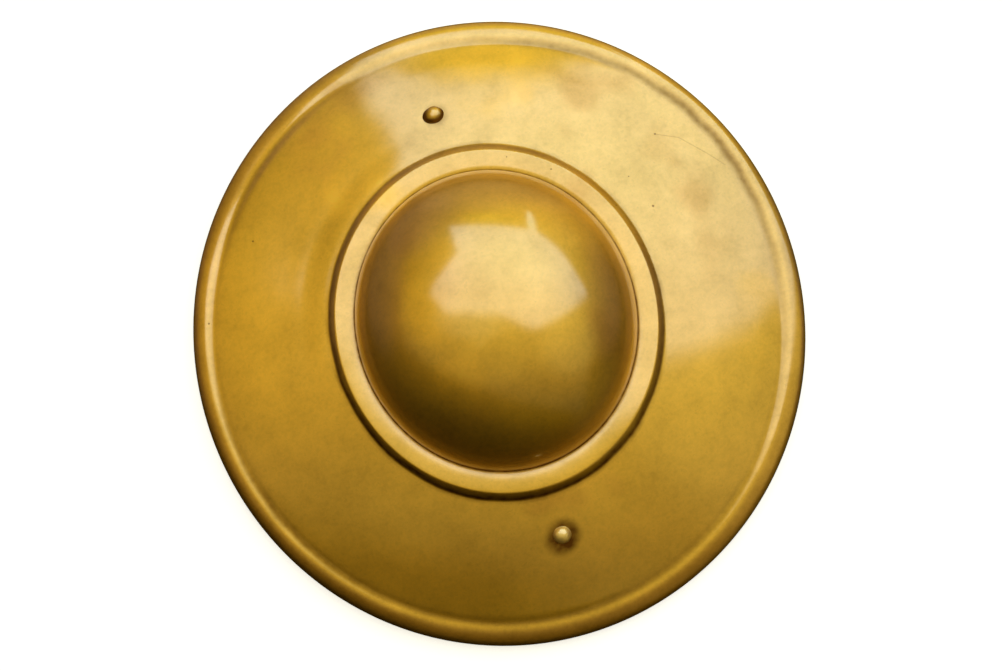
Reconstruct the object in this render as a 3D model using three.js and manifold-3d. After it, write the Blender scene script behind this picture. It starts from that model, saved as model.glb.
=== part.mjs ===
// A brass buckler: one sheet raised into a deep fist boss, with a raised ring round the boss, a dished
// plate and a rim rolled to the back, and a forged grip bar riveted across the hollow behind the boss.
// Millimetres. +Z points out of the front face and +Y runs along the grip bar. The origin is the centre
// of the ring on which the rolled rim rests when the buckler lies face up.
import * as THREE from "three";
import { mergeVertices } from "three/addons/utils/BufferGeometryUtils.js";
import Module from "manifold-3d";

const wasm = await Module();
wasm.setup();

const { degToRad, lerp, smoothstep } = THREE.MathUtils;

// Sheet. Each bend radius below is the one on the inside of the bend.
const sheetThickness = 1.6;
const sheetTurnSegments = 60;

// The buckler is hammered a little longer along the grip than across it. Radii are the mean of the two,
// and an oval share says how much longer the radius is along the grip and shorter across it.
const bossOval = 0.0405;
const rimOval = 0.0155;

// Boss: half of an ellipsoid, with its wall almost upright where it meets the ring
const bossRadius = 74.9;
const bossHeight = 52;
const bossWallSlope = degToRad(84);
const creaseBend = 0.3;

// Raised ring round the boss
const ringInnerSlope = degToRad(-16);
const ringInnerBend = 10;
const ringFaceBend = 75;
const ringFaceInnerSlope = degToRad(-1);
const ringFaceOuterSlope = degToRad(4);
const ringOuterBend = 0.4;
const ringWallSlope = degToRad(46);
const ringWallLength = 3.4;
const ringFootBend = 3.2;

// Dished plate
const plateInnerSlope = degToRad(14);
const plateOuterSlope = degToRad(21);

// Rim: a shallow groove, a low crest, an easy brow and a curl that goes round the edge, along a flat
// hem and up behind
const rimRadius = 165;
const grooveBend = 10.2;
const crestInnerSlope = degToRad(-3);
const crestBend = 7.4;
const crestOuterSlope = degToRad(13);
const browBend = 17.4;
const browOuterSlope = degToRad(28);
const curlBend = 4;
const hemSlope = degToRad(180);
const hemWidth = 3;
const curlEndSlope = degToRad(285);

// Rivets. A rivet's place is its distance from the foot of the ring, along the grip.
const rivetFromRing = 20.8;
const rivetShankRadius = 2;
const rivetHeadOverhang = 2.7;
const rivetHeadHeight = 3.2;
const rivetTailOverhang = 1.7;
const rivetTailHeight = 1.8;
const rivetHoleClearance = 0.3;
const rivetSegments = 16;

// Grip bar: an oval handle, a neck at each end and a flat foot under each rivet
const handleHalfLength = 52;
const handleWidth = 24;
const handleDepth = 15;
const handleAboveRest = 5;
const footHalfLength = 15;
const footWidth = 22;
const footTipInset = 3;
const footThickness = 3;
const footSquareness = 0.35;
const gripSides = 16;

// Gap left between pieces that touch
const seatGap = 0.3;

// A path along the front of the sheet, in the half plane of radius and height. Slope is the angle by
// which the surface falls outwards, so it is 0 on a level face and a half turn on the hem.
class SheetPath {
  constructor() {
    this.points = [];
  }

  get end() {
    return this.points.at(-1);
  }

  add(radius, height, slope) {
    this.points.push({ radius, height, slope });
  }

  // Goes straight on
  run(length) {
    const { radius, height, slope } = this.end;
    this.add(radius + length * Math.cos(slope), height - length * Math.sin(slope), slope);
  }

  // Bends to another slope, on a crest if that is steeper and in a hollow if not
  bend(insideRadius, toSlope, steps) {
    const { radius, height, slope } = this.end;
    const onCrest = toSlope > slope;
    const arc = onCrest ? insideRadius + sheetThickness : -insideRadius;
    for (let i = 1; i <= steps; i++) {
      const s = lerp(slope, toSlope, i / steps);
      const outwards = arc * (Math.sin(s) - Math.sin(slope));
      const upwards = arc * (Math.cos(s) - Math.cos(slope));
      this.add(radius + outwards, height + upwards, s);
    }
  }

  // Moves the whole path so that its lowest point is at height 0
  rest() {
    const lowest = Math.min(...this.points.map((p) => p.height));
    for (const p of this.points) {
      p.height -= lowest;
    }
  }
}

// How far the rim reaches from the start of its groove to its outermost edge
const rimReach =
  grooveBend * (Math.sin(plateOuterSlope) - Math.sin(crestInnerSlope)) +
  (crestBend + sheetThickness) * (Math.sin(crestOuterSlope) - Math.sin(crestInnerSlope)) +
  (browBend + sheetThickness) * (Math.sin(browOuterSlope) - Math.sin(crestOuterSlope)) +
  (curlBend + sheetThickness) * (1 - Math.sin(browOuterSlope));
const grooveRadius = rimRadius - rimReach;

function addBoss(path, steps) {
  const lastTurn = Math.atan((Math.tan(bossWallSlope) * bossRadius) / bossHeight);
  for (let i = 0; i <= steps; i++) {
    const turn = (lastTurn * i) / steps;
    const slope = Math.atan2(bossHeight * Math.sin(turn), bossRadius * Math.cos(turn));
    path.add(bossRadius * Math.sin(turn), bossHeight * Math.cos(turn), slope);
  }
}

function addRing(path) {
  path.bend(creaseBend, ringInnerSlope, 2);
  path.bend(ringInnerBend, ringFaceInnerSlope, 2);
  path.bend(ringFaceBend, ringFaceOuterSlope, 1);
  path.bend(ringOuterBend, ringWallSlope, 2);
  path.run(ringWallLength);
  path.bend(ringFootBend, plateInnerSlope, 1);
}

function addRim(path) {
  path.bend(grooveBend, crestInnerSlope, 1);
  path.bend(crestBend, crestOuterSlope, 2);
  path.bend(browBend, browOuterSlope, 1);
  path.bend(curlBend, hemSlope, 5);
  path.run(hemWidth);
  path.bend(curlBend, curlEndSlope, 3);
}

// The whole front path, from the top of the boss to the end of the curl, lying on its hem
const front = new SheetPath();
addBoss(front, 8);
addRing(front);
const ringFoot = front.end;
const plateCurve =
  (grooveRadius - ringFoot.radius) / (Math.sin(plateOuterSlope) - Math.sin(plateInnerSlope));
front.bend(plateCurve - sheetThickness, plateOuterSlope, 4);
addRim(front);
front.rest();

// Centre of the arc that the front of the plate follows
const plateCentre = {
  radius: ringFoot.radius - plateCurve * Math.sin(plateInnerSlope),
  height: ringFoot.height - plateCurve * Math.cos(plateInnerSlope),
};

// Share by which a mean radius grows along the grip and shrinks across it
function ovalShare(radius) {
  return lerp(bossOval, rimOval, smoothstep(radius, ringFoot.radius, grooveRadius));
}

// Mean radius of the sheet at a place seen from above
function meanRadius(x, y) {
  let radius = Math.hypot(x, y);
  for (let i = 0; i < 4; i++) {
    const share = ovalShare(radius);
    radius = Math.hypot(x / (1 - share), y / (1 + share));
  }
  return radius;
}

// Height of the surface that lies at a depth under the front of the plate
function plateHeight(x, y, depth) {
  const reach = meanRadius(x, y) - plateCentre.radius;
  return plateCentre.height + Math.sqrt((plateCurve - depth) ** 2 - reach ** 2);
}

// Stretches a round body to the buckler's oval
function makeOval(geometry) {
  const position = geometry.attributes.position;
  for (let i = 0; i < position.count; i++) {
    const x = position.getX(i);
    const y = position.getY(i);
    const share = ovalShare(Math.hypot(x, y));
    position.setXY(i, x * (1 - share), y * (1 + share));
  }
  return geometry;
}

// Body turned about +Z, from points of radius and height that start and end on the axis
function turned(points, segments) {
  points.at(0).x = 0;
  points.at(-1).x = 0;
  return new THREE.LatheGeometry(points, segments).rotateX(Math.PI / 2);
}

function solidFrom(geometry) {
  const bare = geometry.clone();
  bare.deleteAttribute("normal");
  bare.deleteAttribute("uv");
  const merged = mergeVertices(bare, 1e-4);
  return new wasm.Manifold(
    new wasm.Mesh({
      numProp: 3,
      vertProperties: new Float32Array(merged.attributes.position.array),
      triVerts: new Uint32Array(merged.index.array),
    }),
  );
}

function geometryFrom(solid) {
  const mesh = solid.getMesh();
  const geometry = new THREE.BufferGeometry();
  geometry.setAttribute("position", new THREE.BufferAttribute(mesh.vertProperties, 3));
  geometry.setIndex(new THREE.BufferAttribute(mesh.triVerts, 1));
  geometry.computeVertexNormals();
  return geometry;
}

// Where a rivet goes through the plate, and how far the plate leans there
const rivetOffset = ringFoot.radius * (1 + bossOval) + rivetFromRing;
const rivetMeanRadius = meanRadius(0, rivetOffset);
const plateSlopeAtRivet = Math.asin((rivetMeanRadius - plateCentre.radius) / plateCurve);
const rivetLean = Math.atan((Math.tan(plateSlopeAtRivet) * rivetMeanRadius) / rivetOffset);

// A group on the front of the plate at one rivet, with +Z along the rivet. Side is 1 or -1.
function rivetSeat(side) {
  const seat = new THREE.Group();
  seat.position.set(0, side * rivetOffset, plateHeight(0, rivetOffset, 0));
  seat.rotation.x = -side * rivetLean;
  seat.updateMatrix();
  return seat;
}

// Cuts the two rivet holes through a body
function drilled(geometry) {
  const radius = rivetShankRadius + rivetHoleClearance;
  const length = 4 * (sheetThickness + footThickness);
  const drill = new THREE.CylinderGeometry(radius, radius, length, rivetSegments);
  drill.rotateX(Math.PI / 2);
  let solid = solidFrom(geometry);
  for (const side of [1, -1]) {
    const hole = drill.clone().applyMatrix4(rivetSeat(side).matrix);
    solid = solid.subtract(solidFrom(hole));
  }
  return geometryFrom(solid);
}

function shieldSheet() {
  const frontSide = front.points.map((p) => new THREE.Vector2(p.radius, p.height));
  const backSide = front.points.map(({ radius, height, slope }) => {
    const inwards = sheetThickness * Math.sin(slope);
    const down = sheetThickness * Math.cos(slope);
    return new THREE.Vector2(radius - inwards, height - down);
  });
  const section = [...backSide, ...frontSide.reverse()];
  return drilled(makeOval(turned(section, sheetTurnSegments)));
}

// Rivet, with the front of the plate at height 0
function rivetBody() {
  const domeSteps = 3;
  const tailSeat = -(sheetThickness + footThickness + 2 * seatGap);
  const points = [];
  const addDome = (seatHeight, radius, height, fromShare) => {
    for (let i = 0; i <= domeSteps; i++) {
      const turn = (Math.PI / 2) * Math.abs(fromShare - i / domeSteps);
      const dome = height * Math.sin(turn);
      points.push(new THREE.Vector2(radius * Math.cos(turn), seatHeight + dome));
    }
  };
  addDome(tailSeat, rivetShankRadius + rivetTailOverhang, -rivetTailHeight, 1);
  points.push(new THREE.Vector2(rivetShankRadius, tailSeat));
  points.push(new THREE.Vector2(rivetShankRadius, seatGap));
  addDome(seatGap, rivetShankRadius + rivetHeadOverhang, rivetHeadHeight, 0);
  return turned(points, rivetSegments);
}

// Distances from the middle of the grip at which its section changes
function gripStations() {
  const footStart = rivetOffset - footHalfLength;
  const footEnd = rivetOffset + footHalfLength;
  const handle = [0, 0.5, 1].map((share) => share * handleHalfLength);
  const neck = [0.2, 0.4, 0.6, 0.8, 1].map((share) => lerp(handleHalfLength, footStart, share));
  const foot = [0.5, 0.9, 1].map((share) => lerp(footStart, footEnd, share));
  return [...handle, ...neck, ...foot];
}

// One closed section of the grip bar, square to +Y at y
function gripSection(y) {
  const reach = Math.abs(y);
  const footStart = rivetOffset - footHalfLength;
  const footEnd = rivetOffset + footHalfLength;
  const footShare = smoothstep(reach, handleHalfLength, footStart);
  const tipShare = smoothstep(reach, rivetOffset, footEnd);
  const footDepth = footThickness / Math.cos(rivetLean);
  const footY = Math.max(reach, footStart);
  const footDrop = (seatGap + footThickness / 2) / Math.cos(rivetLean);
  const footCentre = plateHeight(0, footY, sheetThickness) - footDrop;
  const centre = lerp(handleAboveRest + handleDepth / 2, footCentre, footShare);
  const halfWidth = lerp(handleWidth, footWidth, footShare) / 2 - footTipInset * tipShare;
  const halfDepth = lerp(handleDepth, footDepth, footShare) / 2;
  const squareness = lerp(1, footSquareness, footShare);
  const section = [];
  for (let i = 0; i < gripSides; i++) {
    const turn = (2 * Math.PI * (i + 0.5)) / gripSides;
    const across = Math.sign(Math.cos(turn)) * Math.abs(Math.cos(turn)) ** squareness;
    const up = Math.sign(Math.sin(turn)) * Math.abs(Math.sin(turn)) ** squareness;
    const x = halfWidth * across;
    const fall = plateHeight(x, footY, sheetThickness) - plateHeight(0, footY, sheetThickness);
    section.push([x, y, centre + halfDepth * up + footShare * fall]);
  }
  return section;
}

// Grip bar, lofted along Y through its sections
function gripBar() {
  const half = gripStations();
  const stations = [...half.slice(1).reverse().map((y) => -y), ...half];
  const index = [];
  for (let j = 0; j < stations.length - 1; j++) {
    for (let i = 0; i < gripSides; i++) {
      const a = j * gripSides + i;
      const b = j * gripSides + ((i + 1) % gripSides);
      index.push(a, a + gripSides, b, b, a + gripSides, b + gripSides);
    }
  }
  const last = (stations.length - 1) * gripSides;
  for (let i = 1; i < gripSides - 1; i++) {
    index.push(0, i, i + 1);
    index.push(last, last + i + 1, last + i);
  }
  const geometry = new THREE.BufferGeometry();
  const positions = stations.flatMap((y) => gripSection(y).flat());
  geometry.setAttribute("position", new THREE.Float32BufferAttribute(positions, 3));
  geometry.setIndex(index);
  return drilled(geometry);
}

const sheetBrass = new THREE.MeshStandardMaterial({ color: 0xc0963a, roughness: 0.3, metalness: 1 });
const rivetBrass = new THREE.MeshStandardMaterial({ color: 0xb58b33, roughness: 0.35, metalness: 1 });
const gripBrass = new THREE.MeshStandardMaterial({ color: 0x8f7034, roughness: 0.45, metalness: 1 });

function piece(name, geometry, material) {
  const mesh = new THREE.Mesh(geometry, material);
  mesh.name = name;
  return mesh;
}

const buckler = new THREE.Group();
buckler.add(piece("shield_sheet", shieldSheet(), sheetBrass));
buckler.add(piece("grip_bar", gripBar(), gripBrass));
const rivetSides = { rivet_upper: 1, rivet_lower: -1 };
for (const [name, side] of Object.entries(rivetSides)) {
  const seat = rivetSeat(side);
  seat.add(piece(name, rivetBody(), rivetBrass));
  buckler.add(seat);
}

export default buckler;
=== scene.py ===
from math import asin, atan, atan2, cos, degrees, pi, radians, sin, tan

import bpy
import numpy as np
from mathutils import Matrix, Vector, noise


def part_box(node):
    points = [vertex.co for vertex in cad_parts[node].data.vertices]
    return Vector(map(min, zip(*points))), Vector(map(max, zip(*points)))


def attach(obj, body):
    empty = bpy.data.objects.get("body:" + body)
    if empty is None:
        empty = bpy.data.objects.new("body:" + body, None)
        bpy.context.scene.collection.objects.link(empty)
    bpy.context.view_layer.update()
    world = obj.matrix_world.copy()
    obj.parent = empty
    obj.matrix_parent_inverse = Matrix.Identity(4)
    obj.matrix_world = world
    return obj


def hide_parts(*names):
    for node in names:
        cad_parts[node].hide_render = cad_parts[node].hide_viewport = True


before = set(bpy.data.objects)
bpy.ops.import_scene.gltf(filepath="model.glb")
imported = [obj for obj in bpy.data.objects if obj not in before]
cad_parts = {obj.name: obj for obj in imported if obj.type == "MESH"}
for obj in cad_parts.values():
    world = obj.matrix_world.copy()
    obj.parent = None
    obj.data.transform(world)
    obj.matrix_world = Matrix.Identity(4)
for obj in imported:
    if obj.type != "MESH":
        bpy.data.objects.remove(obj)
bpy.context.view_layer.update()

# A brass buckler lying face up: the sheet with its boss, ring and rolled rim, two rivets, and the
# grip bar behind. Sizes in the dictionaries are millimetres and degrees, and mm turns them to metres.
mm = 0.001


# Shader maths

class Wire:
    # one value in a node tree, so that sums on it add Math nodes
    def __init__(self, tree, socket):
        self.tree = tree
        self.socket = socket

    def math(self, operation, *others):
        values = dict(enumerate([self, *others]))
        return self.tree.add("ShaderNodeMath", dict(operation=operation), values)

    def __add__(self, other):
        return self.math("ADD", other)

    def __sub__(self, other):
        return self.math("SUBTRACT", other)

    def __rsub__(self, other):
        return (self * -1) + other

    def __mul__(self, other):
        return self.math("MULTIPLY", other)

    def __truediv__(self, other):
        return self.math("DIVIDE", other)

    def __pow__(self, other):
        return self.math("POWER", other)

    __radd__ = __add__
    __rmul__ = __mul__

    def atLeast(self, other):
        return self.math("MAXIMUM", other)

    def atMost(self, other):
        return self.math("MINIMUM", other)

    def rise(self, low, high):
        # smooth step from 0 at low to 1 at high, which may be the smaller one
        settings = dict(interpolation_type="SMOOTHSTEP")
        return self.tree.add("ShaderNodeMapRange", settings, {0: self, 1: low, 2: high})


class Tree:
    # a material's or the world's nodes
    def __init__(self, owner):
        owner.use_nodes = True
        self.nodes = owner.node_tree.nodes
        self.links = owner.node_tree.links
        self.nodes.clear()

    def add(self, kind, settings=None, values=None, out=0):
        node = self.nodes.new(kind)
        for name, setting in (settings or {}).items():
            setattr(node, name, setting)
        for name, value in (values or {}).items():
            if isinstance(value, Wire):
                self.links.new(value.socket, node.inputs[name])
            else:
                node.inputs[name].default_value = value
        return Wire(self, node.outputs[out]) if node.outputs else None

    def vector(self, operation, first, second, out=0):
        return self.add("ShaderNodeVectorMath", dict(operation=operation), {0: first, 1: second}, out)

    def scaled(self, vector, share):
        return self.add("ShaderNodeVectorMath", dict(operation="SCALE"), {0: vector, 3: share})

    def blend(self, share, first, second, how="MIX"):
        # colours, first where share is 0
        settings = dict(data_type="RGBA", blend_type=how)
        return self.add("ShaderNodeMix", settings, {0: share, 6: first, 7: second}, out=2)

    def grain(self, place, perMetre, detail=2, rough=0.5):
        values = {"Vector": place, "Scale": perMetre, "Detail": detail, "Roughness": rough}
        return self.add("ShaderNodeTexNoise", None, values)

    def place(self):
        # where a point is, in metres
        return self.add("ShaderNodeTexCoord", out=3)

    def reading(self, name):
        # a value kept on the mesh's points
        return self.add("ShaderNodeAttribute", dict(attribute_name=name), out=2)


def rgb(red, green, blue):
    return (red, green, blue, 1)


# Mesh making

def meshPiece(name, points, faces, material, values=None):
    mesh = bpy.data.meshes.new(name)
    mesh.from_pydata([tuple(p) for p in points], [], faces)
    mesh.polygons.foreach_set("use_smooth", [True] * len(mesh.polygons))
    for key, numbers in (values or {}).items():
        layer = mesh.attributes.new(key, "FLOAT", "POINT")
        layer.data.foreach_set("value", numbers)
    mesh.materials.append(material)
    piece = bpy.data.objects.new(name, mesh)
    bpy.context.scene.collection.objects.link(piece)
    return piece


def ringFaces(ringCount, sides):
    # quads between rings of points that follow each other
    faces = []
    for j in range(ringCount - 1):
        low = j * sides
        for i in range(sides):
            k = (i + 1) % sides
            faces.append((low + i, low + k, low + sides + k, low + sides + i))
    return faces


def smoothstep(value, low, high):
    # from 0 at low to 1 at high, which may be the smaller one
    share = np.clip((value - low) / (high - low), 0, 1)
    return share * share * (3 - 2 * share)


def lerp(first, second, share):
    return first + (second - first) * share


def softNoise(points, size):
    # smooth noise at points, with lumps about so far across, in the points' own unit
    return np.array([noise.noise(Vector(p) / size) for p in points])


# The sheet

sheet = dict(
    # steps round it, and how much they crowd together towards the rivets
    turns=360, crowding=0.25,
    thickness=1.6, bossOval=0.0405, bossRadius=74.9, bossHeight=52, bossWallSlope=84, bossSteps=56,
    creaseBend=0.3, ringInnerSlope=-16, ringInnerBend=10, ringFaceInnerSlope=-1, ringFaceBend=75,
    ringFaceOuterSlope=4, ringOuterBend=0.4, ringWallSlope=46, ringWallLength=3.4, ringFootBend=3.2,
    plateInnerSlope=14, plateOuterSlope=21,
    grooveBend=10.2, crestInnerSlope=-3, crestBend=7.4, crestOuterSlope=13, browBend=17.4,
    browOuterSlope=28, curlBend=4, hemSlope=180, hemWidth=3, curlEndSlope=285,
    rivetFromRing=20.8,
)

handwork = dict(
    # height of the lumps, and how far across they are
    wave=0.22, waveSize=42, dint=0.018, dintSize=9, stillEdge=8,
    rivetDint=0.35, rivetDintSize=7,
    spotHeight=0.12, spotSize=2.2, spotPlace=(-11.4, -18),
    # where the rolled rim strays outwards, as middle and spread of the turn and amount, how far
    # inside its groove that starts, and how far from the edge it ends
    rimStray=[(28, 26, 2.2), (74, 16, -1), (190, 30, 0.5), (332, 24, -0.8)], strayFrom=14, strayEnd=(1, 7),
    # where the rim's crest is low, and from where to where across its groove
    rimLow=[(128, 20, 2.1), (262, 34, 1)], rimLowFrom=(-2, 7),
    # where the plate falls away more steeply, and how far from the ring that is full and fades
    plateLow=[(137, 34, 1.2)], plateLowFull=15, plateLowFade=22,
)

low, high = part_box("shield_sheet")
rimRadius = (high.x - low.x + high.y - low.y) / 4 / mm
rimOval = (high.y - low.y - high.x + low.x) / (high.y - low.y + high.x - low.x)


class SheetPath:
    # runs out along the front of the sheet, as radius, height and slope
    def __init__(self):
        self.points = []

    def run(self, length, steps):
        radius, height, slope = self.points[-1]
        for i in range(1, steps + 1):
            reach = length * i / steps
            self.points.append((radius + reach * cos(slope), height - reach * sin(slope), slope))

    def bend(self, insideRadius, toSlope, steps):
        radius, height, slope = self.points[-1]
        last = radians(toSlope)
        arc = insideRadius + sheet["thickness"] if last > slope else -insideRadius
        for i in range(1, steps + 1):
            s = lerp(slope, last, i / steps)
            outwards = arc * (sin(s) - sin(slope))
            upwards = arc * (cos(s) - cos(slope))
            self.points.append((radius + outwards, height + upwards, s))


def bendReach(insideRadius, fromSlope, toSlope):
    # how far a bend reaches outwards
    arc = insideRadius + sheet["thickness"] if toSlope > fromSlope else -insideRadius
    return arc * (sin(radians(toSlope)) - sin(radians(fromSlope)))


def layPath():
    s = sheet
    path = SheetPath()
    lastTurn = atan(tan(radians(s["bossWallSlope"])) * s["bossRadius"] / s["bossHeight"])
    for i in range(s["bossSteps"] + 1):
        turn = lastTurn * i / s["bossSteps"]
        slope = atan2(s["bossHeight"] * sin(turn), s["bossRadius"] * cos(turn))
        path.points.append((s["bossRadius"] * sin(turn), s["bossHeight"] * cos(turn), slope))
    marks = dict(crease=len(path.points))

    # bends of the ring and of the rim: radius, slope before, slope after and steps
    ring = [
        ("creaseBend", "bossWallSlope", "ringInnerSlope", 6),
        ("ringInnerBend", "ringInnerSlope", "ringFaceInnerSlope", 4),
        ("ringFaceBend", "ringFaceInnerSlope", "ringFaceOuterSlope", 6),
        ("ringOuterBend", "ringFaceOuterSlope", "ringWallSlope", 5),
    ]
    rim = [
        ("grooveBend", "plateOuterSlope", "crestInnerSlope", 7),
        ("crestBend", "crestInnerSlope", "crestOuterSlope", 9),
        ("browBend", "crestOuterSlope", "browOuterSlope", 5),
        ("curlBend", "browOuterSlope", "hemSlope", 12),
    ]
    for radius, before, after, steps in ring:
        path.bend(s[radius], s[after], steps)
    path.run(s["ringWallLength"], steps=2)
    path.bend(s["ringFootBend"], s["plateInnerSlope"], steps=5)
    marks["foot"] = len(path.points) - 1

    # the plate's curve fills what the rim leaves
    rimReach = sum(bendReach(s[radius], s[before], s[after]) for radius, before, after, steps in rim[:3])
    rimReach += (s["curlBend"] + s["thickness"]) * (1 - sin(radians(s["browOuterSlope"])))
    slopes = sin(radians(s["plateOuterSlope"])) - sin(radians(s["plateInnerSlope"]))
    plateCurve = (rimRadius - rimReach - path.points[-1][0]) / slopes
    path.bend(plateCurve - s["thickness"], s["plateOuterSlope"], steps=38)
    marks["groove"] = len(path.points) - 1
    for radius, before, after, steps in rim:
        path.bend(s[radius], s[after], steps)
    path.run(s["hemWidth"], steps=2)
    path.bend(s["curlBend"], s["curlEndSlope"], steps=8)
    points = np.array(path.points)
    points[:, 1] -= points[:, 1].min()
    return points, marks, plateCurve


path, marks, plateCurve = layPath()
creaseRadius = path[marks["crease"], 0]
footRadius, footHeight, footSlope = path[marks["foot"]]
grooveRadius = path[marks["groove"], 0]
plateCentre = (footRadius - plateCurve * sin(footSlope), footHeight - plateCurve * cos(footSlope))
rivetOffset = footRadius * (1 + sheet["bossOval"]) + sheet["rivetFromRing"]


def ovalShare(radius):
    return lerp(sheet["bossOval"], rimOval, smoothstep(radius, footRadius, grooveRadius))


def meanRadius(x, y):
    radius = np.hypot(x, y)
    for i in range(4):
        share = ovalShare(radius)
        radius = np.hypot(x / (1 - share), y / (1 + share))
    return radius


def plateHeight(x, y, depth=0):
    # in millimetres, at a depth under the front of the plate
    reach = meanRadius(x, y) - plateCentre[0]
    return plateCentre[1] + np.sqrt((plateCurve - depth) ** 2 - reach ** 2)


rivetMeanRadius = float(meanRadius(0, rivetOffset))
rivetSlope = asin((rivetMeanRadius - plateCentre[0]) / plateCurve)
rivetLean = atan(tan(rivetSlope) * rivetMeanRadius / rivetOffset)


def aroundTurn(turn, lumps):
    # sum of smooth lumps at places round the buckler, as middle, spread and amount
    total = np.zeros_like(turn)
    for middle, spread, amount in lumps:
        away = (np.degrees(turn) - middle + 180) % 360 - 180
        total += amount * np.exp(-((away / spread) ** 2))
    return total


def standOut(x, y, radius):
    # how far the handwork makes the sheet stand out from its true form, in millimetres
    h = handwork
    flat = np.stack([x, y, np.zeros_like(x)], axis=-1)
    elsewhere = 200  # so that the dints don't repeat the waves
    lumps = h["wave"] * softNoise(flat, h["waveSize"])
    lumps += h["dint"] * softNoise(flat + elsewhere, h["dintSize"])
    lumps *= smoothstep(radius, rimRadius, rimRadius - h["stillEdge"])
    for side in (1, -1):
        away = np.hypot(x, y - side * rivetOffset)
        lumps -= h["rivetDint"] * np.exp(-((away / h["rivetDintSize"]) ** 2))
    turn = np.arctan2(y, x)
    start, full = [grooveRadius + reach for reach in h["rimLowFrom"]]
    lumps -= smoothstep(radius, start, full) * aroundTurn(turn, h["rimLow"])
    fall = smoothstep(radius, footRadius, footRadius + h["plateLowFull"])
    fall *= smoothstep(radius, grooveRadius, footRadius + h["plateLowFade"])
    lumps -= fall * aroundTurn(turn, h["plateLow"])
    away = np.hypot(x - h["spotPlace"][0], y - h["spotPlace"][1])
    return lumps + h["spotHeight"] * np.exp(-((away / h["spotSize"]) ** 2))


paintedLightAndWear = dict(
    # painted shade: brown lines in the crease, at the ring's foot, under the boss and in the groove, darkest
    # on the side away from
    # the light: place from the edge of the boss, the ring's foot or the groove, width, least and most
    # strength, and turn of the darkest side
    crease=dict(place=0.35, width=0.95, least=0.85, most=1, darkest=235),
    wall=dict(place=-1.6, width=2.6, least=0.4, most=0.95, darkest=245),
    skirtShade=dict(width=7, least=0.08, most=0.4, darkest=235),
    groove=dict(place=2, width=4, least=0.15),
    grooveShade=[(25, 28, 0.55), (205, 24, 0.5), (65, 14, 0.3), (290, 50, 0.15)],
    shadeSide=(-0.6, 0.9),
    # painted shade: brown halos round the rivets, in their dints: middle, radius and strength
    shadeHalos=[((0.6, 113.6), 8.5, 0.35), ((0, -115.2), 11.5, 0.95)], shadeHaloFull=0.45, shadeHaloStray=2,
    # painted shade: duller, darker spots: middle, half widths and strength
    dullShadeSpots=[
        ((119, 32), (12, 26), 0.75), ((112, 62), (11, 14), 0.5), ((118, -2), (10, 15), 0.4),
        ((-39, 141), (18, 12), 0.9), ((80, 106), (24, 18), 0.8), ((-64, 122), (20, 18), 0.7),
        ((62, 51), (15, 14), 0.6), ((4, -97), (30, 9), 0.8), ((-27, 47), (15, 9), 0.6),
        ((49, -25), (9, 19), 0.7), ((-40, -48), (18, 9), 0.35),
    ],
    # painted highlights: spots where the brass is lighter and more yellow
    highlightSpots=[
        ((32, 136), (26, 14), 0.13), ((37, 113), (24, 14), 0.12), ((-46, 87), (20, 17), 0.16),
        ((-29, 74), (14, 12), 0.08), ((135, -24), (13, 17), 0.12), ((126, -51), (14, 18), 0.07),
        ((-22, -27), (19, 12), 0.14), ((-30, 8), (12, 18), 0.08),
    ],
    spotStray=0.9, spotEdge=1.2,
    # painted shade: the outer side of the rim is duller and browner at some turns: where that starts, the
    # turns, and how brown it is
    rimDullShadeFrom=(155.5, 159), rimDullShade=[(200, 50, 1), (285, 50, 1), (130, 24, 0.7)], rimShadeBrown=0.26,
    # how far the marks stray, and how far across the bends in them are
    stray=1, straySize=14,
    # pits: place and radius
    pits=[
        ((109.3, 71.4), 0.8), ((95.3, 33.3), 0.9), ((-110.7, 80), 0.8), ((76.5, 38.5), 0.6),
        ((-146, 45.6), 0.8), ((50, 66), 0.6), ((30, 79), 0.5), ((88, 52), 0.5), ((146.5, 36), 0.7),
    ],
    pitFull=0.3, pitDark=0.8,
    scratch=[(109.6, 71.2), (121, 66.5), (133.6, 53.7), (140.6, 45.7)],
    scratchWidth=(0.45, 0.1), scratchDark=0.25,
    # lumps to the metre in the brown, and its least strength and how much they add
    lumps=240, lumpLeast=0.6, lumpMore=0.8,
)


def ridge(value, middle, width):
    return smoothstep(np.abs(value - middle), width, 0)


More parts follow.
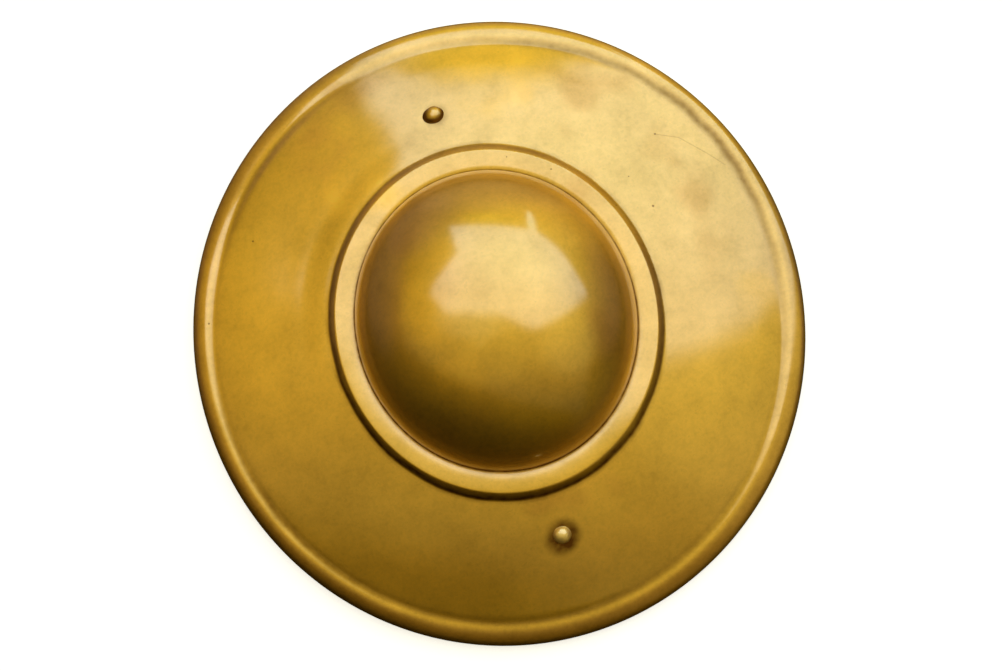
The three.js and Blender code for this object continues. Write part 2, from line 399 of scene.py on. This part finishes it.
def paintedLightMasks(x, y, reach):
    # how much painted shade browns each point, how much duller painted shade it has, and how much painted
    # highlight
    p = paintedLightAndWear
    outward = np.maximum(np.hypot(x, y), 1)
    turn = np.arctan2(y, x)
    uneven = softNoise(np.stack([x, y, np.zeros_like(x)], axis=-1), p["straySize"])
    near = reach + uneven * p["stray"]

    # how strong a painted shade line is, most on its darkest side
    def strength(line):
        darkest = radians(line["darkest"])
        side = (x * cos(darkest) + y * sin(darkest)) / outward
        return lerp(line["least"], line["most"], smoothstep(side, *p["shadeSide"]))

    crease, wall, skirtShade, groove = p["crease"], p["wall"], p["skirtShade"], p["groove"]
    underBoss = smoothstep(reach, creaseRadius - skirtShade["width"], creaseRadius) * (reach < creaseRadius + 0.1)
    # painted shade in the crease, under the boss, at the ring's foot and in the groove
    paintedShade = [
        ridge(reach, creaseRadius + crease["place"], crease["width"]) * strength(crease),
        underBoss * strength(skirtShade),
        ridge(near, footRadius + wall["place"], wall["width"]) * strength(wall),
        ridge(near, grooveRadius + groove["place"], groove["width"])
        * (groove["least"] + aroundTurn(turn, p["grooveShade"])),
    ]
    # painted shade round the rivets
    for spot, size, dark in p["shadeHalos"]:
        away = np.hypot(x - spot[0], y - spot[1]) + uneven * p["shadeHaloStray"]
        paintedShade.append(smoothstep(away, size, size * p["shadeHaloFull"]) * dark)
    # painted shade on the rim's outer side, which also browns it
    dullShade = smoothstep(reach, *p["rimDullShadeFrom"]) * aroundTurn(turn, p["rimDullShade"])
    paintedShade.append(dullShade * p["rimShadeBrown"])
    # painted shade spots add to the rim's painted shade, and painted highlight spots make their own mask
    paintedHighlight = np.zeros_like(x)
    for total, spots in ((dullShade, p["dullShadeSpots"]), (paintedHighlight, p["highlightSpots"])):
        for spot, size, amount in spots:
            away = np.hypot((x - spot[0]) / size[0], (y - spot[1]) / size[1])
            total += smoothstep(away + uneven * p["spotStray"], p["spotEdge"], 0) * amount
    return dict(paintedShadeAndWear=np.max(paintedShade, axis=0), dullShade=np.minimum(dullShade, 1), paintedHighlight=paintedHighlight)


def shieldSheet(material):
    s, h = sheet, handwork
    # the back has half of the front's points, except at the rim
    backSteps = sorted(set(range(2, len(path), 2)) | set(range(marks["groove"], len(path))))
    back = path[backSteps].copy()
    back[:, 0] -= s["thickness"] * np.sin(back[:, 2])
    back[:, 1] -= s["thickness"] * np.cos(back[:, 2])
    loop = np.concatenate([path[1:], back[::-1]])
    frontRadius = np.concatenate([path[1:, 0], path[backSteps, 0][::-1]])

    even = np.arange(s["turns"]) * 2 * pi / s["turns"]
    turns = even + s["crowding"] * np.sin(2 * even)
    radius, turn = np.meshgrid(loop[:, 0], turns, indexing="ij")
    height, slope, reach = [
        np.repeat(column[:, None], s["turns"], axis=1) for column in (loop[:, 1], loop[:, 2], frontRadius)
    ]
    stray = aroundTurn(turn, h["rimStray"]) * smoothstep(radius, grooveRadius - h["strayFrom"], grooveRadius)
    nearEdge, freeOfEdge = [rimRadius - gap for gap in h["strayEnd"]]
    stray *= smoothstep(radius, nearEdge, freeOfEdge)
    share = ovalShare(radius)
    x = (radius + stray) * np.cos(turn) * (1 - share)
    y = (radius + stray) * np.sin(turn) * (1 + share)
    out = standOut(x.ravel(), y.ravel(), reach.ravel()).reshape(x.shape)
    out *= np.cos(np.minimum(slope, pi / 2))
    rings = np.stack([x, y, height + out], axis=-1).reshape(-1, 3)
    top = path[0, 1] + standOut(np.zeros(1), np.zeros(1), np.zeros(1))[0]
    points = np.concatenate([rings, [(0, 0, top), (0, 0, top - s["thickness"])]])

    sides = s["turns"]
    faces = [face[::-1] for face in ringFaces(len(loop), sides)]
    last = (len(loop) - 1) * sides
    frontPole, backPole = len(rings), len(rings) + 1
    for i in range(sides):
        k = (i + 1) % sides
        faces.append((frontPole, i, k))
        faces.append((backPole, last + k, last + i))
    values = paintedLightMasks(points[:, 0], points[:, 1], np.append(reach.ravel(), [0, 0]))
    piece = meshPiece("shield_disc", points * mm, faces, material, values)
    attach(piece, "root")
    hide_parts("shield_sheet")
    return piece


# Brass

brass = dict(
    # the gold, the brown that painted shade and wear take, and the duller gold of painted shade
    gold=(0.85, 0.50, 0.05), paintedLightAndWear=(0.17, 0.068, 0.011), dullShade=(0.71, 0.385, 0.05),
    rough=0.5, roughGrain=0.5, bump=0.25, bumpHeight=0.3,
    # the gloss over the metal, what the grain adds to it, and what the painted duller shade and the painted
    # highlight spots take
    coat=0.9, coatRough=0.13, coatGloss=2.26, coatGrain=1.1, dullShadeTakes=0.38, paintedHighlightTakes=1.2,
    # strength and fineness, in lumps to the metre, of the grain, the pores and the clouds
    grain=(0.23, 750), pores=(0.36, 330), clouds=(0.2, 105), broad=(0.5, 30), noiseRough=0.6,
    # the lightest pores are dark specks: where they start and are full, and their strength
    speckFrom=0.10, speckFull=0.22, specks=0.14,
)


def brassNodes(tree, place, paintedShadeAndWear, look, dullShade=0, paintedHighlight=0):
    # gold under a clear gloss, with grain, pores and clouds, browned where the third argument is 1, for
    # painted shade and for wear; the fifth argument paints duller shade and the last one paints highlights
    fine, pores, clouds, broad = [
        (tree.grain(place, look[name][1], rough=look["noiseRough"]) - 0.5) * look[name][0]
        for name in ("grain", "pores", "clouds", "broad")
    ]
    strongest = look["pores"][0]
    specks = pores.rise(strongest * look["speckFrom"], strongest * look["speckFull"]) * look["specks"]
    uneven = fine + pores + clouds + broad - specks
    # painted shade dulls the gold, and painted highlights lighten it
    base = tree.blend(dullShade, rgb(*look["gold"]), rgb(*look["dullShade"]))
    gold = tree.scaled(base, uneven + paintedHighlight + 1)
    gloss = uneven * look["coatGrain"] + look["coat"]
    gloss = gloss - dullShade * look["dullShadeTakes"] - paintedHighlight * look["paintedHighlightTakes"]
    bump = {"Strength": look["bump"], "Distance": look["bumpHeight"] * mm, "Height": fine}
    values = {
        "Base Color": tree.blend(paintedShadeAndWear, gold, rgb(*look["paintedLightAndWear"])),
        "Metallic": 1,
        "Roughness": fine * look["roughGrain"] + look["rough"],
        "Normal": tree.add("ShaderNodeBump", None, bump),
        "Coat Weight": (1 - paintedShadeAndWear) * gloss,
        "Coat Roughness": look["coatRough"],
        "Coat IOR": look["coatGloss"],
    }
    shader = tree.add("ShaderNodeBsdfPrincipled", None, values)
    tree.add("ShaderNodeOutputMaterial", None, {"Surface": shader})


def farFromLine(tree, flat, first, second):
    # distance from the straight line between two spots
    line = Vector((*second, 0)) - Vector((*first, 0))
    offset = tree.vector("SUBTRACT", flat, (*first, 0))
    along = tree.vector("DOT_PRODUCT", offset, line.normalized(), out=1).atLeast(0).atMost(line.length)
    return tree.vector("DISTANCE", offset, tree.scaled(line.normalized(), along), out=1)


def sheetBrass():
    p = paintedLightAndWear
    material = bpy.data.materials.new("sheet_brass")
    tree = Tree(material)
    place = tree.place()
    flat = tree.vector("MULTIPLY", place, (1 / mm, 1 / mm, 0))
    # the brown share: painted shade kept on the mesh, with pits and a scratch as wear
    paintedShadeAndWear = tree.reading("paintedShadeAndWear") * (tree.grain(place, p["lumps"]) * p["lumpMore"] + p["lumpLeast"])
    for spot, size in p["pits"]:
        away = tree.vector("DISTANCE", flat, (*spot, 0), out=1)
        paintedShadeAndWear = paintedShadeAndWear.atLeast(away.rise(size, size * p["pitFull"]) * p["pitDark"])
    for first, second in zip(p["scratch"], p["scratch"][1:]):
        away = farFromLine(tree, flat, first, second)
        paintedShadeAndWear = paintedShadeAndWear.atLeast(away.rise(*p["scratchWidth"]) * p["scratchDark"])
    brassNodes(tree, place, paintedShadeAndWear.atMost(1), brass, tree.reading("dullShade"), tree.reading("paintedHighlight"))
    return material


# Rivets

rivet = dict(
    shankRadius=2, headRadius=4.7, headHeight=3.3, flange=0.45, flangeEdge=0.6, domeShare=0.9,
    sink=0.2, tailRadius=3.7, tailHeight=1.8, tailGap=0.5, sides=40, steps=12,
    bulge=0.12, bulgeSize=2.5, bulgeShift=50,
    # the upper head is splayed and struck to one side, the lower one is a lighter gold, a painted highlight;
    # each has painted shade, brown from clear down to full, measured up from its seat, with the third number
    # as strength
    upper=dict(splay=(1.22, 1.07), shift=(0.9, 0.9), headShade=(3.4, 1.2, 0.95)),
    lower=dict(splay=(1, 1), shift=(-0.1, -0.2), headShade=(0.5, 0.1, 0.5)),
    headShadeStray=0.8, headShadeLumps=300,
    # a lighter gold copy of the brass for the lower head, a painted highlight
    lighterGoldHighlight=dict(gold=(0.92, 0.66, 0.22), rough=0.6),
)


def rivetRings(seat, tailSeat):
    # radius and height of each ring of points, up from the tail to the top of the head
    r = rivet
    quarter = [pi / 2 * i / r["steps"] for i in range(r["steps"] + 1)]
    rings = [(r["tailRadius"] * sin(turn), tailSeat - r["tailHeight"] * cos(turn)) for turn in quarter[1:]]
    rings += [(r["shankRadius"], tailSeat), (r["shankRadius"], seat - r["sink"])]
    rings += [(r["headRadius"], seat - r["sink"]), (r["headRadius"], seat + r["flange"] * r["flangeEdge"])]
    dome = r["headRadius"] * r["domeShare"]
    rise = r["headHeight"] - r["flange"]
    return rings + [(dome * cos(turn), seat + r["flange"] + rise * sin(turn)) for turn in quarter[:-1]]


def rivetPiece(side, material):
    r = rivet
    name = "upper" if side > 0 else "lower"
    look = r[name]
    seat = -handwork["rivetDint"]
    tailSeat = -(sheet["thickness"] + grip["footThickness"] + r["tailGap"])
    rings = rivetRings(seat, tailSeat)
    points = []
    for radius, height in rings:
        for i in range(r["sides"]):
            turn = 2 * pi * i / r["sides"]
            points.append((radius * cos(turn), radius * sin(turn), height))
    points.append((0, 0, tailSeat - r["tailHeight"]))
    points.append((0, 0, seat + r["headHeight"]))
    points = np.array(points)

    rise = points[:, 2] - seat
    up = np.clip(rise / r["headHeight"], 0, 1) * (rise > 0)
    headFoot = rise > -r["sink"] - 0.05
    for axis in (0, 1):
        stretch = 1 + (look["splay"][axis] - 1) * headFoot * (1 - up)
        points[:, axis] = points[:, axis] * stretch + look["shift"][axis] * up
    bulge = softNoise(points + side * r["bulgeShift"], r["bulgeSize"]) * r["bulge"]
    points[:, :2] *= (1 + bulge / r["headRadius"])[:, None]
    points[:, 2] += bulge * 0.5 * (points[:, 2] > seat)

    faces = ringFaces(len(rings), r["sides"])
    last = (len(rings) - 1) * r["sides"]
    for i in range(r["sides"]):
        k = (i + 1) % r["sides"]
        faces.append((len(points) - 2, k, i))
        faces.append((len(points) - 1, last + i, last + k))
    lean = Matrix.Rotation(-side * rivetLean, 4, "X")
    seatHeight = float(plateHeight(0, rivetOffset))
    spot = Matrix.Translation((0, side * rivetOffset, seatHeight)) @ lean
    placed = [(spot @ Vector(p)) * mm for p in points]
    piece = meshPiece("rivet_head_" + name, placed, faces, material, dict(rise=rise))
    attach(piece, "root")
    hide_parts("rivet_" + name)
    return piece


def rivetBrass(name, finish):
    clear, full, strength = rivet[name]["headShade"]
    material = bpy.data.materials.new("rivet_brass_" + name)
    tree = Tree(material)
    place = tree.place()
    stray = (tree.grain(place, rivet["headShadeLumps"]) - 0.5) * rivet["headShadeStray"]
    # painted shade: browner from the foot of the head up to the listed height
    headShade = (tree.reading("rise") + stray).rise(clear, full) * strength
    brassNodes(tree, place, headShade, finish)
    return material


# Grip bar

grip = dict(
    handleHalfLength=52, handleWidth=24, handleDepth=15, handleAboveRest=5,
    footHalfLength=15, footWidth=22, footTipInset=3, footThickness=3, footSquareness=0.35,
    sides=48, steps=150,
    # hammer marks: height, how far across, and how far from each end they stop
    hammer=0.25, hammerSize=11, hammerStop=32,
    # brown clouds: lumps to the metre, where they start and are full, and strength
    cloudLumps=60, cloudRise=(0.45, 0.75), cloudDark=0.5,
)


def gripSection(y):
    g = grip
    reach = abs(y)
    footStart = rivetOffset - g["footHalfLength"]
    footEnd = rivetOffset + g["footHalfLength"]
    footShare = float(smoothstep(reach, g["handleHalfLength"], footStart))
    tipShare = float(smoothstep(reach, rivetOffset, footEnd))
    footY = max(reach, footStart)
    footDepth = g["footThickness"] / cos(rivetLean)
    behind = float(plateHeight(0, footY, sheet["thickness"]))
    footCentre = behind - footDepth / 2
    centre = lerp(g["handleAboveRest"] + g["handleDepth"] / 2, footCentre, footShare)
    halfWidth = lerp(g["handleWidth"], g["footWidth"], footShare) / 2 - g["footTipInset"] * tipShare
    halfDepth = lerp(g["handleDepth"], footDepth, footShare) / 2
    squareness = lerp(1, g["footSquareness"], footShare)
    section = []
    for i in range(g["sides"]):
        turn = 2 * pi * (i + 0.5) / g["sides"]
        c, s = cos(turn), sin(turn)
        x = halfWidth * np.sign(c) * abs(c) ** squareness
        up = np.sign(s) * abs(s) ** squareness
        fall = float(plateHeight(x, footY, sheet["thickness"])) - behind
        section.append((x, y, centre + halfDepth * up + footShare * fall))
    return section


def gripPiece(material):
    g = grip
    end = rivetOffset + g["footHalfLength"]
    stations = [-end + 2 * end * i / g["steps"] for i in range(g["steps"] + 1)]
    points = np.array([p for y in stations for p in gripSection(y)])
    hammered = np.abs(points[:, 1]) < end - g["hammerStop"]
    points[:, 2] += softNoise(points, g["hammerSize"]) * g["hammer"] * hammered
    faces = [face[::-1] for face in ringFaces(len(stations), g["sides"])]
    last = (len(stations) - 1) * g["sides"]
    faces.append(tuple(range(g["sides"])))
    faces.append(tuple(last + i for i in reversed(range(g["sides"]))))
    piece = meshPiece("forged_grip", points * mm, faces, material)
    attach(piece, "root")
    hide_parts("grip_bar")
    return piece


def gripBrass():
    material = bpy.data.materials.new("grip_brass")
    tree = Tree(material)
    place = tree.place()
    clouds = tree.grain(place, grip["cloudLumps"], detail=4).rise(*grip["cloudRise"])
    brassNodes(tree, place, clouds * grip["cloudDark"], brass)
    return material


# Camera

camera = dict(
    aim=(0.9, -7.3, 20), distance=700, acrossLean=-0.5, alongLean=-6.57, roll=-17.02,
    # in pixels of the picture
    focus=1343, pictureWidth=1005,
    sensor=36, clipStart=10,
)

toCamera = Vector((sin(radians(camera["acrossLean"])), sin(radians(camera["alongLean"])), 1)).normalized()
rollUp = Vector((-sin(radians(camera["roll"])), cos(radians(camera["roll"])), 0))
picRight = (-toCamera).cross(rollUp).normalized()
picUp = picRight.cross(-toCamera)


def placeCamera():
    data = bpy.data.cameras.new("camera")
    data.sensor_width = camera["sensor"]
    data.lens = camera["focus"] / camera["pictureWidth"] * camera["sensor"]
    data.clip_start = camera["clipStart"] * mm
    made = bpy.data.objects.new("camera", data)
    bpy.context.scene.collection.objects.link(made)
    turn = Matrix((picRight, picUp, toCamera)).transposed().to_4x4()
    spot = (Vector(camera["aim"]) + toCamera * camera["distance"]) * mm
    made.matrix_world = Matrix.Translation(spot) @ turn
    bpy.context.scene.camera = made


# Light by direction: u runs to the picture's right and v to its top, in degrees away from the camera

studio = dict(
    # straight sides: facing, distance and softness
    windowEdges=[
        (40.6, -18.5, 3), (-124.5, -66.7, 2), (-144.7, -65.6, 2), (180, -62.5, 1.6),
        (112.4, -6, 2.5), (126.3, -16.9, 3), (-90, -61.8, 1.6),
    ],
    footEdges=[(90, 9.5, 4), (72.2, 8.6, 3)],
    leftEdges=[(-36.5, -46, 1.6), (19.4, -8.8, 1.6)],
    notch=(41, 47),  # height of the corner between the two left sides
    wallEdges=[(0, -66, 5), (71, -33.5, 6), (180, -64, 7), (-64, -69, 5), (-90, -84, 9)],
    pane=(0.681, 0.898, 1.197), wall=(0.156, 0.106, 0),
    slit=((26, 66), (3, 12)), slitEdge=(0.2, 0.5), slitLight=(1.407, 2.005, 1.691),
    upward=(0.038, 0.043, 0.014), upwardRise=(-90, 90),
    # light that grows across a shape, upwards or to the right: from, to and colour
    fades=[
        ("window", "up", (0, 65), (0.527, 0.669, 0.441)),
        ("window", "up", (32, 4), (0.895, 0.611, 0)),
        ("window", "right", (10, -40), (0.261, 0.126, 0)),
        ("wall", "up", (40, -20), (0.03, 0.039, 0.053)),
    ],
    # soft ovals: middle, half widths and colour
    glows=[
        ((-18, 6), (22, 10), (0.386, 0.413, 0.21)),  # under the window's left part
        ((22, 73), (26, 18), (0.298, 0.178, 0)),  # yellow, above it
        ((46, 60), (18, 20), (0.299, 0.218, 0.084)),
        ((0, 95), (60, 24), (0.442, 0.325, 0.158)),
        ((-60, 74), (34, 30), (0.205, 0.129, 0.112)),  # brown, upper left
        ((-88, 25), (26, 45), (0.127, 0.078, 0.066)),
        ((80, 25), (24, 40), (0.073, 0.03, 0.076)),
        ((85, -55), (30, 40), (0.081, 0.065, 0.016)),
        ((40, -45), (45, 25), (0.063, 0.046, 0)),
        ((-10, -14), (45, 16), (0.3, 0.21, 0.02)),  # golden, below the window
        ((48, -5), (24, 20), (0.462, 0.382, 0.093)),
        ((-34, 42), (10, 12), (0.182, 0.022, 0)),
        ((-50, 10), (18, 22), (0.516, 0.327, 0.019)),
        ((65, 80), (30, 30), (0.451, 0.305, 0.063)),
        ((-8, 66), (16, 7), (0.65, 0.451, 0)),
    ],
    glowEdge=1.5, background=0.95,
)


def lookAngles(tree):
    # u and v of the way that the light comes from, and both as a vector
    way = tree.add("ShaderNodeTexCoord")
    right = tree.vector("DOT_PRODUCT", way, picRight, out=1)
    up = tree.vector("DOT_PRODUCT", way, picUp, out=1)
    back = tree.vector("DOT_PRODUCT", way, toCamera, out=1)
    polar = back.math("ARCCOSINE") * degrees(1)
    notZero = 1e-9
    flat = (right * right + up * up + notZero) ** 0.5
    u = polar * right / flat
    v = polar * up / flat
    return u, v, tree.add("ShaderNodeCombineXYZ", None, {0: u, 1: v})


def pastEdge(tree, look, facing, distance, softness):
    outward = (cos(radians(facing)), sin(radians(facing)), 0)
    reach = tree.vector("DOT_PRODUCT", look, outward, out=1)
    return reach.rise(distance - softness, distance + softness)


def panel(tree, look, edges):
    # the shape inside all of its straight sides
    shape = pastEdge(tree, look, *edges[0])
    for edge in edges[1:]:
        shape = shape * pastEdge(tree, look, *edge)
    return shape


def windowShape(tree, look, v):
    foot, footRight = [pastEdge(tree, look, *edge) for edge in studio["footEdges"]]
    lowLeft, highLeft = [pastEdge(tree, look, *edge) for edge in studio["leftEdges"]]
    left = lowLeft.atLeast(highLeft * v.rise(*studio["notch"]))
    return panel(tree, look, studio["windowEdges"]) * foot.atLeast(footRight) * left


def glowShape(tree, look, middle, widths):
    # 1 in the middle of an oval, falling to 0 a little outside it
    scale = (1 / widths[0], 1 / widths[1], 0)
    shift = (-middle[0] / widths[0], -middle[1] / widths[1], 0)
    values = {0: look, 1: scale, 2: shift}
    offset = tree.add("ShaderNodeVectorMath", dict(operation="MULTIPLY_ADD"), values)
    return tree.vector("DOT_PRODUCT", offset, offset, out=1).rise(studio["glowEdge"], 0)


def lightWorld():
    world = bpy.data.worlds.new("studio")
    bpy.context.scene.world = world
    tree = Tree(world)
    s = studio
    u, v, look = lookAngles(tree)
    shapes = dict(window=windowShape(tree, look, v), wall=panel(tree, look, s["wallEdges"]))
    slit = glowShape(tree, look, *s["slit"]).rise(*s["slitEdge"]) * (1 - shapes["window"])
    lights = [
        (shapes["window"], s["pane"]), (slit, s["slitLight"]), (shapes["wall"], s["wall"]),
        (v.rise(*s["upwardRise"]), s["upward"]),
    ]
    for name, direction, fade, colour in s["fades"]:
        angle = v if direction == "up" else u
        lights.append((shapes[name] * angle.rise(*fade), colour))
    for middle, widths, colour in s["glows"]:
        lights.append((glowShape(tree, look, middle, widths), colour))
    total = rgb(0, 0, 0)
    for shape, colour in lights:
        total = tree.blend(shape, total, rgb(*colour), "ADD")
    seen = tree.add("ShaderNodeLightPath")
    colour = tree.blend(seen, total, rgb(*[s["background"]] * 3))
    shine = tree.add("ShaderNodeBackground", None, {"Color": colour})
    tree.add("ShaderNodeOutputWorld", None, {"Surface": shine})


# Floor

floor = dict(halfWidth=4000, below=0.3, shade=0.8, rough=0.9, sheen=0.1, glow=0.66)


def paleFloor():
    material = bpy.data.materials.new("pale_floor")
    tree = Tree(material)
    values = {
        "Base Color": rgb(*[floor["shade"]] * 3),
        "Roughness": floor["rough"],
        "Specular IOR Level": floor["sheen"],
        "Emission Color": rgb(1, 1, 1),
        "Emission Strength": floor["glow"],
    }
    shader = tree.add("ShaderNodeBsdfPrincipled", None, values)
    tree.add("ShaderNodeOutputMaterial", None, {"Surface": shader})
    half = floor["halfWidth"] * mm
    corners = [(-half, -half), (half, -half), (half, half), (-half, half)]
    points = [(x, y, -floor["below"] * mm) for x, y in corners]
    made = meshPiece("floor", points, [(0, 1, 2, 3)], material)
    made.visible_glossy = False


placeCamera()
print("camera placed")
shieldSheet(sheetBrass())
print("sheet made")
rivetPiece(1, rivetBrass("upper", brass))
# the lower head takes the lighter gold copy, a painted highlight
rivetPiece(-1, rivetBrass("lower", dict(brass, **rivet["lighterGoldHighlight"])))
print("rivets made")
gripPiece(gripBrass())
print("grip bar made")
paleFloor()
lightWorld()
bpy.context.scene.view_settings.view_transform = "Standard"
print("floor and light made")
